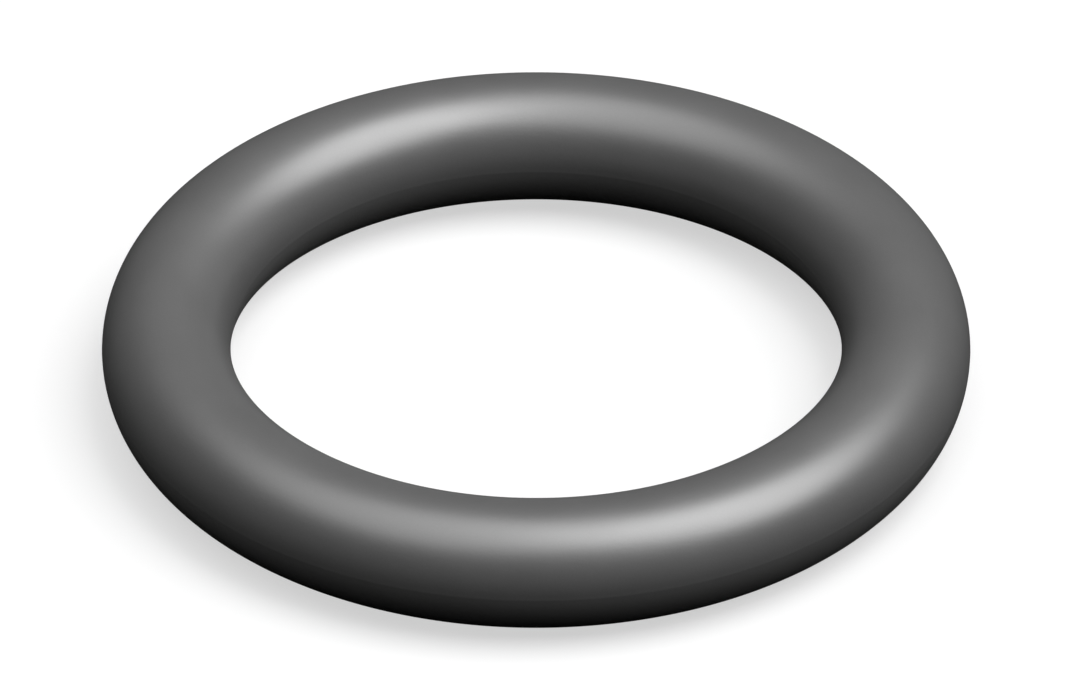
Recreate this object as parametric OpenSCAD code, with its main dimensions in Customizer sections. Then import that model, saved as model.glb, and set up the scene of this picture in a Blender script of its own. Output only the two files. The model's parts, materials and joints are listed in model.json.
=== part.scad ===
// O-ring: a rubber sealing ring of round section, moulded in one piece.
// Sizes are in millimetres. The ring lies flat. Its centre is the origin,
// on its own mid-plane, and its axis is +Z.

/* [Ring] */

// Inside diameter, the first of the two sizes that a ring is listed by
inside_d = 19; // [10:0.5:60]

// Diameter of the round section, the second listed size
section_d = 4; // [1.5:0.1:6]

/* [Parting line] */

// Width, along Z, of the fine band left where the two halves of the mould meet
witness_w = 0.10; // [0.06:0.01:0.20]

// How far that band stands out from the round section once the flash is trimmed
witness_h = 0.01; // [0.01:0.01:0.08]

/* [Hidden] */

// Radius from the ring's axis to the middle of its section
ring_r = (inside_d + section_d) / 2;

// The band's reach across the section, from its inner face to its outer one
witness_span = section_d + 2 * witness_h;

// Black rubber
rubber_colour = [0.11, 0.11, 0.11];

$fn = 128;

// The section in its own plane: X runs outwards from the axis, and Y is up.
// The mould parts on the ring's mid-plane, so the band crosses the section
// there. It shows as one fine line round the inside and one round the outside.
module ring_section() {
    circle(d = section_d);
    square([witness_span, witness_w], center = true);
}

// The whole ring is one solid: its section, swept once round the axis.
module o_ring() {
    color(rubber_colour)
        rotate_extrude(angle = 360)
            translate([ring_r, 0])
                ring_section();
}

o_ring();
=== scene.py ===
# %% [markdown]
# # A rubber o-ring
# An o-ring is a loop of soft rubber with a round section. It sits in a groove and is squeezed there,
# which closes the gap between two parts. This one is moulded in one piece: inside diameter 19 mm,
# section 4 mm. The lesson starts from the CAD model, which fixes the size and the place, and then
# gives the ring the fine shape and the satin black finish of real moulded rubber.

# %% The CAD model comes first
import json
import math

import bpy
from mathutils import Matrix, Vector


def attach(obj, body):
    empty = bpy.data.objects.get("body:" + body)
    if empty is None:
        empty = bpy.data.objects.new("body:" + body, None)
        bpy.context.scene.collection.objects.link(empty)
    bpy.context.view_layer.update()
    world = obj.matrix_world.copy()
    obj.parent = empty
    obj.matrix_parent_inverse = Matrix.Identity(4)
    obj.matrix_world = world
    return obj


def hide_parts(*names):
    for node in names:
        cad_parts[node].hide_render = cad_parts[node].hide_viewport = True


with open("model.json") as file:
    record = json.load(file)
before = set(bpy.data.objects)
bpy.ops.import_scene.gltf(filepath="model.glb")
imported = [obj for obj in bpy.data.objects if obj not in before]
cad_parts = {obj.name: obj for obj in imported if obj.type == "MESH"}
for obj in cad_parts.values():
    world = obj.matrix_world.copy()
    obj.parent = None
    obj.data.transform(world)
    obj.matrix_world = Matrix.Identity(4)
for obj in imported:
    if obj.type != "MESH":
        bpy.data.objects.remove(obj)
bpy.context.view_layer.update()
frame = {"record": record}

# %% [markdown]
# ## Sizes
# A ring is listed by two sizes, its inside diameter and the diameter of its section. They could be
# typed in again here, but then they might one day differ from the CAD model, so they are read from
# its record. The ring touches a flat cover along its crown, a circle right above the middle of the
# section. That circle's radius and height give both sizes. Lengths are in millimetres, except where
# a comment says metres (m).

# %% Sizes of the ring
MM = 0.001                               # one millimetre, in Blender's metres

mounts = {mount["name"]: mount for mount in frame["record"]["mounts"]}
crown = mounts["upper_crown"]
RING_R = crown["dims"]["r_mm"]           # from the axis to the middle of the section
SECTION_R = crown["pos_m"][2] / MM
print("inside diameter", 2 * (RING_R - SECTION_R), "mm, section", 2 * SECTION_R, "mm")

# %% [markdown]
# ## The camera
# The picture looks down on the ring at 35.3 degrees, the angle of an isometric drawing, and its two
# sides don't converge. A very long lens from far away gives nearly the same look, and it still lets
# other views frame the ring by moving the camera, which an orthographic camera wouldn't. An even
# longer lens would put those views' cameras so far away that their range of sight ends too soon.

# %% Camera
ELEVATION = math.radians(35.264)
LENS, SENSOR = 900.0, 36.0               # mm
FRAME_WIDTH = 33.58                      # mm across the picture at the ring's centre
AIM_RIGHT, AIM_UP = 0.12, -0.064         # mm from the ring's centre to the picture's centre
NEAREST, FARTHEST = 0.01, 10.0           # m, the camera's range of sight

towards_camera = Vector((0, -math.cos(ELEVATION), math.sin(ELEVATION)))
picture_right = Vector((1, 0, 0))
picture_up = towards_camera.cross(picture_right)
lens_data = bpy.data.cameras.new("camera")
lens_data.lens, lens_data.sensor_width = LENS, SENSOR
lens_data.clip_start, lens_data.clip_end = NEAREST, FARTHEST
camera = bpy.data.objects.new("camera", lens_data)
bpy.context.scene.collection.objects.link(camera)
aim = (picture_right * AIM_RIGHT + picture_up * AIM_UP) * MM
distance = FRAME_WIDTH * MM * LENS / SENSOR
camera.location = aim + towards_camera * distance
camera.rotation_euler = towards_camera.to_track_quat("Z", "Y").to_euler()
bpy.context.scene.camera = camera
print("camera", round(distance, 3), "m from the ring")

# %% [markdown]
# ## Opening a piece
# An operator works on whatever is selected, and the CAD nodes come in selected. It could be left to
# each step to clear that, but one forgotten line would change the wrong thing. So one small helper
# opens a piece in edit mode and clears every selection on the way.

# %% A helper that opens a piece
def edit(piece, part="VERT"):
    """Opens one piece in edit mode, with nothing in it selected."""
    if bpy.context.object and bpy.context.object.mode == "EDIT":
        bpy.ops.object.mode_set(mode="OBJECT")
    bpy.ops.object.select_all(action="DESELECT")
    bpy.context.view_layer.objects.active = piece
    piece.select_set(True)
    bpy.ops.object.mode_set(mode="EDIT")
    bpy.ops.mesh.select_mode(type=part)
    bpy.ops.mesh.select_all(action="DESELECT")


print("helper: edit opens a piece")

# %% [markdown]
# ## The round section
# The ring is a circle swept round an axis. A torus would give that in one step, but this one starts
# as the circle, so that the mould's line can be shaped on it before the sweep. A circle of 128 edges
# is turned by half an edge, so that one edge stands upright at the outside and one at the inside.
# Each of the two is about 0.1 mm long, as wide as the line that the mould leaves there.
# It is drawn at 1 unit to the millimetre, because details of a few microns are too small for some
# tools when the unit is the metre.

# %% The section as a circle of edges
SECTION_EDGES = 128

bpy.ops.object.select_all(action="DESELECT")
bpy.ops.mesh.primitive_circle_add(
    vertices=SECTION_EDGES, radius=SECTION_R, fill_type="NOTHING",
    location=(RING_R, 0, 0), rotation=(math.radians(90), 0, 0))
ring = bpy.context.object
ring.name = "moulded_ring"
bpy.ops.object.transform_apply(location=True, rotation=True, scale=True)
edit(ring)
bpy.ops.mesh.select_all(action="SELECT")
bpy.ops.transform.rotate(
    value=math.pi / SECTION_EDGES, orient_axis="Y", center_override=(RING_R, 0, 0))
bpy.ops.object.mode_set(mode="OBJECT")
BAND_HALF = min(abs(v.co.z) for v in ring.data.vertices)
print("section of", len(ring.data.edges), "edges; the upright edge is",
      round(2 * BAND_HALF, 4), "mm long")

# %% [markdown]
# ## Picking by place
# The next step changes a few points only. They could be picked by their numbers, but these change as
# soon as an earlier step adds a point. So they are picked by where they are: the rule is a function
# that gets a place and answers yes or no, and an edge is picked when both of its ends fit the rule.

# %% A helper that picks vertices or edges
def pick(piece, elements, wanted):
    """Selects the piece's vertices or edges that the rule wants, and counts them."""
    bpy.ops.object.mode_set(mode="OBJECT")
    mesh = piece.data
    count = 0
    for element in getattr(mesh, elements):
        if elements == "vertices":
            places = [element.co]
        else:
            places = [mesh.vertices[i].co for i in element.vertices]
        element.select = all(wanted(place) for place in places)
        count += element.select
    bpy.ops.object.mode_set(mode="EDIT")
    return count


print("helper: pick selects by place")

# %% [markdown]
# ## The parting line
# The mould is two plates that meet at the ring's mid-plane, where a film of rubber, the flash,
# squeezes out. Tumbling tears it off and rounds what is left, so a low, soft ridge stays round the
# outside and round the inside. The CAD model has it as trimmed, 0.01 mm high, and here it is worn
# down to a fifth of that. The photograph shows no line, and a higher ridge would leave a step in
# tone across the dark side, so this one only shows from close by.
# A bump in the material could draw it too, but then the mesh would lack it. Each of the two upright
# edges is cut in four, and the three new points are moved away from the section.

# %% Raise the two parting lines
WITNESS_H = 0.002                        # mm proud of the round section
CUTS = 3                                 # new points on each upright edge
SHOULDER = 0.7                           # how far the outer two points move, next to the middle one
RIDGE = ((0.0, 1.0), (0.5, SHOULDER))    # how far up or down the band, and how much it moves
CLOSE = 0.1                              # a point this near to a place on the band is the one there

edit(ring, "EDGE")
cut = pick(ring, "edges", lambda place: abs(place.z) < (1 + CLOSE) * BAND_HALF)
bpy.ops.mesh.subdivide(number_cuts=CUTS)
flat_x = SECTION_R * math.cos(math.pi / SECTION_EDGES)
rise = SECTION_R + WITNESS_H - flat_x    # from the straight edge to the ridge's crest
for height, share in RIDGE:
    for outwards in (1, -1):
        edit(ring)
        moved = pick(ring, "vertices", lambda place: outwards * (place.x - RING_R) > 0
                     and abs(abs(place.z) / BAND_HALF - height) <= CLOSE)
        bpy.ops.transform.translate(value=(outwards * share * rise, 0, 0))
        print(moved, "points moved by", round(outwards * share * rise, 4), "mm")
bpy.ops.object.mode_set(mode="OBJECT")
print(cut, "edges cut; the section now has", len(ring.data.edges), "edges")

# %% [markdown]
# ## The sweep
# The mould's groove is cut by a tool that goes once round, and Spin does the same with the section.
# A Screw modifier could too, but Spin works on the mesh right away. With 360 steps, a straight edge
# is at most about 0.0005 mm away from the true curve, so no corner shows on the outline. The last
# copy lands on the first, so the doubles are merged, and then all faces are made to point outwards.

# %% Sweep the section round the axis
SPIN_STEPS = 360
DOUBLES = 0.0005                         # mm; points nearer than this are one

edit(ring)
bpy.ops.mesh.select_all(action="SELECT")
bpy.ops.mesh.spin(
    steps=SPIN_STEPS, angle=math.tau, center=(0, 0, 0), axis=(0, 0, 1))
bpy.ops.mesh.select_all(action="SELECT")
bpy.ops.mesh.remove_doubles(threshold=DOUBLES)
bpy.ops.mesh.normals_make_consistent(inside=False)
bpy.ops.object.mode_set(mode="OBJECT")
print("swept ring:", len(ring.data.vertices), "vertices,", len(ring.data.polygons), "faces")

# %% [markdown]
# ## From millimetres to metres
# The model's frame is in metres. The ring is scaled to it about the origin, and the scale is applied,
# so that the finished object sits unturned and unscaled at the origin, with its place in its mesh.
# A moulded ring has no sharp edge, so its shading is smooth all over.

# %% Scale, smooth and measure the ring
bpy.ops.object.select_all(action="DESELECT")
ring.select_set(True)
bpy.context.view_layer.objects.active = ring
ring.scale = (MM, MM, MM)
bpy.ops.object.transform_apply(location=True, rotation=True, scale=True)
bpy.ops.object.shade_smooth()
triangles = sum(len(face.vertices) - 2 for face in ring.data.polygons)
print("finished ring:", triangles, "triangles,", [round(d / MM, 3) for d in ring.dimensions], "mm")

# %% [markdown]
# ## The rubber
# Black rubber is dark grey all through, coloured by carbon black. A mould with a fine matt surface
# gives it a satin skin: light spreads into a broad soft sheen instead of a sharp spot. So the ring
# has one material with a rough gloss. Its patterns read Object coordinates, which stay with the ring
# as it moves. They are in metres, and a Mapping node turns them into millimetres, so that the scale
# of a pattern is simply how many features fit in a millimetre.

# %% Start the rubber
rubber = bpy.data.materials.new("satin_black_rubber")
rubber.use_nodes = True
tree = rubber.node_tree
shader = tree.nodes["Principled BSDF"]
on_object = tree.nodes.new("ShaderNodeTexCoord")
mapping = tree.nodes.new("ShaderNodeMapping")
mapping.inputs["Scale"].default_value = (1 / MM, 1 / MM, 1 / MM)
tree.links.new(on_object.outputs["Object"], mapping.inputs["Vector"])
in_mm = mapping.outputs["Vector"]
ring.data.materials.clear()
ring.data.materials.append(rubber)
print("the ring's material:", rubber.name)

# %% [markdown]
# ## Building patterns
# A finish is built from patterns that say where it is lighter, duller or higher. A picture of rubber
# could be wrapped round the ring instead, but it would need a file and show a seam, which noise
# doesn't. Three small helpers make a noise, move a value to another range and do a sum.

# %% Helpers for patterns
def noise(tree, places, per_mm, detail):
    """One noise pattern with so many features to the millimetre."""
    node = tree.nodes.new("ShaderNodeTexNoise")
    node.inputs["Scale"].default_value = per_mm
    node.inputs["Detail"].default_value = detail
    tree.links.new(places, node.inputs["Vector"])
    return node.outputs["Fac"]


def spread(tree, value, low, high, from_low=0.0, from_high=1.0):
    """Maps a value's range onto another range."""
    node = tree.nodes.new("ShaderNodeMapRange")
    for name, number in (("From Min", from_low), ("From Max", from_high),
                         ("To Min", low), ("To Max", high)):
        node.inputs[name].default_value = number
    tree.links.new(value, node.inputs["Value"])
    return node.outputs["Result"]


def maths(tree, operation, *values):
    """One sum on one or two values, each a number or a socket."""
    node = tree.nodes.new("ShaderNodeMath")
    node.operation = operation
    for socket, value in zip(node.inputs, values):
        if hasattr(value, "is_linked"):
            tree.links.new(value, socket)
        else:
            socket.default_value = value
    return node.outputs["Value"]


print("helpers: noise, spread and maths")

# %% [markdown]
# ## Grain, clouds and the line
# Three things vary on the skin of a moulded ring. The matt mould leaves a fine grain, the rubber has
# faint broad clouds where it flowed and cured, and the torn edge of the parting line is a little
# paler and duller. Two noises make the first two. The line is found by its height: 1 close to the
# ring's mid-plane, and 0 a little above and below it.

# %% The patterns of the skin
GRAIN_PER_MM, GRAIN_DETAIL = 14.0, 3
CLOUDS_PER_MM, CLOUDS_DETAIL = 0.45, 2
LINE_CORE, LINE_EDGE = 0.03, 0.06        # mm from the mid-plane: whole up to here, gone from here

grain = noise(tree, in_mm, GRAIN_PER_MM, GRAIN_DETAIL)
clouds = noise(tree, in_mm, CLOUDS_PER_MM, CLOUDS_DETAIL)
split = tree.nodes.new("ShaderNodeSeparateXYZ")
tree.links.new(in_mm, split.inputs["Vector"])
from_middle = maths(tree, "ABSOLUTE", split.outputs["Z"])
line = spread(tree, from_middle, 1.0, 0.0, from_low=LINE_CORE, from_high=LINE_EDGE)
print("grain features are about", round(1 / GRAIN_PER_MM, 3), "mm wide, clouds",
      round(1 / CLOUDS_PER_MM, 1), "mm")

# %% [markdown]
# ## Its tone
# One flat grey would look like paint. The patterns move the grey a little up and down, so little
# that the ring still looks plain from a step away, as in the photograph. Each pattern's share could
# be mixed in as a second colour, but rubber has no second colour, so the shares are only added up.

# %% Tone
RUBBER_GREY = 0.110
GRAIN_TONE, CLOUDS_TONE, LINE_TONE = 0.012, 0.006, 0.002


def total(tree, first, *others):
    """Several values added up."""
    result = first
    for value in others:
        result = maths(tree, "ADD", result, value)
    return result


tone = total(tree, spread(tree, grain, -GRAIN_TONE, GRAIN_TONE),
             spread(tree, clouds, -CLOUDS_TONE, CLOUDS_TONE),
             spread(tree, line, 0.0, LINE_TONE), RUBBER_GREY)
grey = tree.nodes.new("ShaderNodeCombineColor")
for channel in ("Red", "Green", "Blue"):
    tree.links.new(tone, grey.inputs[channel])
tree.links.new(grey.outputs["Color"], shader.inputs["Base Color"])
print("grey", RUBBER_GREY, "give or take", round(GRAIN_TONE + CLOUDS_TONE, 3))

# %% [markdown]
# ## Its sheen
# The photograph has a highlight that is both broad and bright. The roughness makes it broad, and an
# index of refraction above plain rubber's, with a full specular level, makes it bright. A clear
# coat could do that too, but a bare ring has none. The grain also makes tiny bumps, a few microns
# deep, too fine to be worth modelling.

# %% Roughness, reflection and bump
SHEEN_ROUGHNESS = 0.41
CLOUDS_GLOSS, GRAIN_GLOSS, LINE_GLOSS = 0.03, 0.04, 0.05
RUBBER_IOR, SPECULAR_LEVEL = 1.65, 1.0
BUMP_STRENGTH, BUMP_HEIGHT = 0.5, 0.004  # share, and mm

roughness = total(tree, spread(tree, clouds, -CLOUDS_GLOSS, CLOUDS_GLOSS),
                  spread(tree, grain, -GRAIN_GLOSS, GRAIN_GLOSS),
                  spread(tree, line, 0.0, LINE_GLOSS), SHEEN_ROUGHNESS)
tree.links.new(roughness, shader.inputs["Roughness"])
shader.inputs["IOR"].default_value = RUBBER_IOR
shader.inputs["Specular IOR Level"].default_value = SPECULAR_LEVEL
bump = tree.nodes.new("ShaderNodeBump")
bump.inputs["Strength"].default_value = BUMP_STRENGTH
bump.inputs["Distance"].default_value = BUMP_HEIGHT * MM
tree.links.new(grain, bump.inputs["Height"])
tree.links.new(bump.outputs["Normal"], shader.inputs["Normal"])
print("rubber:", len(tree.nodes), "nodes")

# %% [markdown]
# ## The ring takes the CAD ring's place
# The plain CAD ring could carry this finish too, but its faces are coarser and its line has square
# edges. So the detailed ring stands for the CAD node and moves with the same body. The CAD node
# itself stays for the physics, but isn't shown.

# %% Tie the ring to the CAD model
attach(ring, "root")
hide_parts("o_ring")
print("the ring rides on root and replaces o_ring")

# %% [markdown]
# ## The white around the ring
# The ring lies on a plain white sheet. A Light Path node tells what kind of ray has come to the
# sheet. The camera sees it white, and so do glass and polished metal, whose rays are Transmission
# and Singular rays. To light that scatters, it is dark, because it would brighten the ring from
# below.
# A dull reflection, which is a Glossy ray too, sees a tenth of the sheet's colour. The photograph
# shows the ring's underside near black, with nothing white under it. Rubber as dull as this one
# gathers its gloss from half the room, and with the whole white in it the black ring turns grey.
# If brushed metal were in this scene, DULL_SHARE would be 1.

# %% Helpers for the white stage
DULL_SHARE = 0.1                         # how much of the sheet's colour a dull reflection sees


def seen_by(tree):
    """Two sockets: 1 for a ray that keeps its picture sharp, and the same with dull reflections."""
    path = tree.nodes.new("ShaderNodeLightPath")
    sharp = path.outputs["Is Camera Ray"]
    for kind in ("Is Transmission Ray", "Is Singular Ray"):
        sharp = maths(tree, "MAXIMUM", sharp, path.outputs[kind])
    dull = maths(tree, "MULTIPLY", path.outputs["Is Glossy Ray"], DULL_SHARE)
    return sharp, maths(tree, "MAXIMUM", sharp, dull)


def bare_material(name):
    """A material with its output only, and that output's socket."""
    material = bpy.data.materials.new(name)
    material.use_nodes = True
    nodes = material.node_tree.nodes
    nodes.remove(nodes["Principled BSDF"])
    return material, nodes["Material Output"].inputs["Surface"]


print("a dull reflection sees", DULL_SHARE, "of the sheet's colour")

# %% [markdown]
# ## The sheet's two parts
# Real paper under soft light is white with grey shadows. The picture's ground is pure white, so the
# ring's shadow has to stay pale. One way is a strong lamp, but that would bleach the ring. Here the
# sheet has a colour, which the lamps light and the ring shades, and a glow of its own under it. The
# two add up to just over 1 where nothing shades them.

# %% The white sheet
SHEET_WHITE = 0.36                       # its colour
SHEET_GLOW = 0.60                        # its glow

paper, paper_surface = bare_material("white_sheet")
sheet = paper.node_tree
sharp, seen = seen_by(sheet)
matt = sheet.nodes.new("ShaderNodeBsdfDiffuse")
sheet.links.new(maths(sheet, "MULTIPLY", seen, SHEET_WHITE), matt.inputs["Color"])
glow = sheet.nodes.new("ShaderNodeEmission")
sheet.links.new(maths(sheet, "MULTIPLY", sharp, SHEET_GLOW), glow.inputs["Strength"])
both = sheet.nodes.new("ShaderNodeAddShader")
sheet.links.new(matt.outputs["BSDF"], both.inputs[0])
sheet.links.new(glow.outputs["Emission"], both.inputs[1])
sheet.links.new(both.outputs["Shader"], paper_surface)
print("sheet:", len(sheet.nodes), "nodes")

# %% [markdown]
# ## The floor
# The floor is that sheet, right under the ring's lowest circle. It is one large plane, so that its
# edge is far away from the ring in every view.

# %% Floor
FLOOR_SIZE = 8.0                         # m
FLOOR_Z = -SECTION_R * MM                # m, as low as the ring reaches

bpy.ops.object.select_all(action="DESELECT")
bpy.ops.mesh.primitive_plane_add(size=FLOOR_SIZE, location=(0, 0, FLOOR_Z))
floor = bpy.context.object
floor.name = "floor"
floor.data.materials.append(paper)
print("floor at", FLOOR_Z, "m")

# %% [markdown]
# ## A low backdrop
# Seen from very low, the floor's far edge would leave a dark room above it, so a low white band
# stands round the set. A white world could do that too, but the ring's gloss would see it overhead
# as well, and turn paler. The band shows white from inside and is see-through from outside, where
# a camera may stand.

# %% Backdrop
BACKDROP_R, BACKDROP_H = 0.30, 0.04      # m
BACKDROP_SIDES = 96

bpy.ops.object.select_all(action="DESELECT")
bpy.ops.mesh.primitive_cylinder_add(
    vertices=BACKDROP_SIDES, radius=BACKDROP_R, depth=BACKDROP_H, end_fill_type="NOTHING",
    location=(0, 0, FLOOR_Z + BACKDROP_H / 2))
backdrop = bpy.context.object
backdrop.name = "backdrop"

band, band_surface = bare_material("white_backdrop")
band_tree = band.node_tree
shine = band_tree.nodes.new("ShaderNodeEmission")
band_tree.links.new(seen_by(band_tree)[1], shine.inputs["Strength"])
clear = band_tree.nodes.new("ShaderNodeBsdfTransparent")
side = band_tree.nodes.new("ShaderNodeNewGeometry").outputs["Backfacing"]
choose = band_tree.nodes.new("ShaderNodeMixShader")
band_tree.links.new(side, choose.inputs["Fac"])
band_tree.links.new(clear.outputs["BSDF"], choose.inputs[1])
band_tree.links.new(shine.outputs["Emission"], choose.inputs[2])
band_tree.links.new(choose.outputs["Shader"], band_surface)
backdrop.data.materials.append(band)
backdrop.visible_shadow = False          # it throws no shadow on the floor
print("backdrop", BACKDROP_R, "m away,", BACKDROP_H, "m high")

# %% [markdown]
# ## Light
# Two large soft lamps light the ring from above: a stronger one from the right and a weaker one from
# the left. Lamps close by could do it, but these are of the kind that shines from far away, so the
# whole floor is lit alike. The room around them is black, because the sheet and the band are white
# by themselves.

# %% Lamps and world
BLACK = (0.0, 0.0, 0.0, 1.0)


def soft_lamp(name, direction, level, width_degrees):
    """A far, soft lamp. At level 1 it makes a white surface that faces it look white."""
    lamp = bpy.data.lights.new(name, "SUN")
    lamp.energy = level * math.pi
    lamp.angle = math.radians(width_degrees)
    holder = bpy.data.objects.new(name, lamp)
    bpy.context.scene.collection.objects.link(holder)
    holder.rotation_euler = Vector(direction).to_track_quat("Z", "Y").to_euler()


soft_lamp("key_lamp", direction=(0.51, -0.06, 0.86), level=0.92, width_degrees=52)
soft_lamp("fill_lamp", direction=(-0.17, -0.09, 0.98), level=0.52, width_degrees=65)

world = bpy.data.worlds.new("studio")
bpy.context.scene.world = world
world.use_nodes = True
world.node_tree.nodes["Background"].inputs["Color"].default_value = BLACK
bpy.context.scene.view_settings.view_transform = "Standard"
print("two lamps and a dark room")
